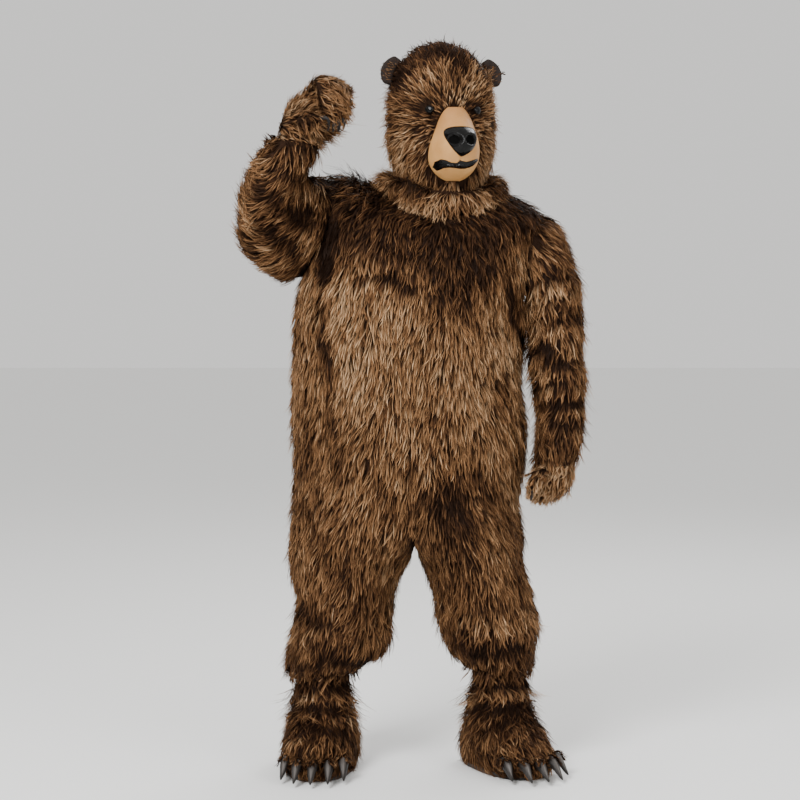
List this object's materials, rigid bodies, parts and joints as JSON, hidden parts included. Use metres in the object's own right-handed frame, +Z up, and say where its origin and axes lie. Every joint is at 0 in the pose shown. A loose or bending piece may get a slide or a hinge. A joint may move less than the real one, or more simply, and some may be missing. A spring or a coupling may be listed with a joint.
{
  "type": "bear costume",
  "caption": "Worn, hollow long-fur bear costume: one-piece suit, over-head mask with muzzle and fur bib, mitts and clawed feet, with one arm raised.",
  "frame": {"origin": "where the worn suit hangs: the base of the neck, between the wearer's shoulders", "axes": "+Z up, the front faces -Y, the wearer's left is +X"},
  "size_m": [0.8918, 0.474, 1.883],
  "materials": {
    "brown_fur": "long-pile faux fur",
    "light_fur": "paler long-pile faux fur",
    "tan_latex": "smooth satin latex",
    "black_gloss": "glossy black",
    "claw_plastic": "satin grey-brown",
    "sole_rubber": "matt black",
    "zip_tape": "woven tape with a closed coil"
  },
  "bodies": {
    "root": {"suit_front_right": "brown_fur", "suit_front_left": "brown_fur", "suit_back_right": "brown_fur", "suit_back_left": "brown_fur", "sleeve_right": "brown_fur", "sleeve_left": "brown_fur", "mask_front": "brown_fur", "mask_back": "brown_fur", "ear_right": "brown_fur", "ear_left": "brown_fur", "mitt_right_back": "brown_fur", "mitt_right_palm": "brown_fur", "mitt_right_thumb": "brown_fur", "mitt_left_back": "brown_fur", "mitt_left_palm": "brown_fur", "mitt_left_thumb": "brown_fur", "foot_right_upper": "brown_fur", "foot_left_upper": "brown_fur", "mask_bib": "light_fur", "muzzle": "tan_latex", "nose": "black_gloss", "mouth_lips": "black_gloss", "eye_right": "black_gloss", "eye_left": "black_gloss", "foot_right_sole": "sole_rubber", "foot_left_sole": "sole_rubber", "back_zip": "zip_tape", "mitt_right_claw_1": "claw_plastic", "foot_right_claw_1": "claw_plastic", "mitt_right_claw_2": "claw_plastic", "foot_right_claw_2": "claw_plastic", "mitt_right_claw_3": "claw_plastic", "foot_right_claw_3": "claw_plastic", "mitt_right_claw_4": "claw_plastic", "foot_right_claw_4": "claw_plastic", "mitt_right_claw_5": "claw_plastic", "foot_right_claw_5": "claw_plastic", "mitt_left_claw_1": "claw_plastic", "foot_left_claw_1": "claw_plastic", "mitt_left_claw_2": "claw_plastic", "foot_left_claw_2": "claw_plastic", "mitt_left_claw_3": "claw_plastic", "foot_left_claw_3": "claw_plastic", "mitt_left_claw_4": "claw_plastic", "foot_left_claw_4": "claw_plastic", "mitt_left_claw_5": "claw_plastic", "foot_left_claw_5": "claw_plastic"}
  },
  "joints": []
}
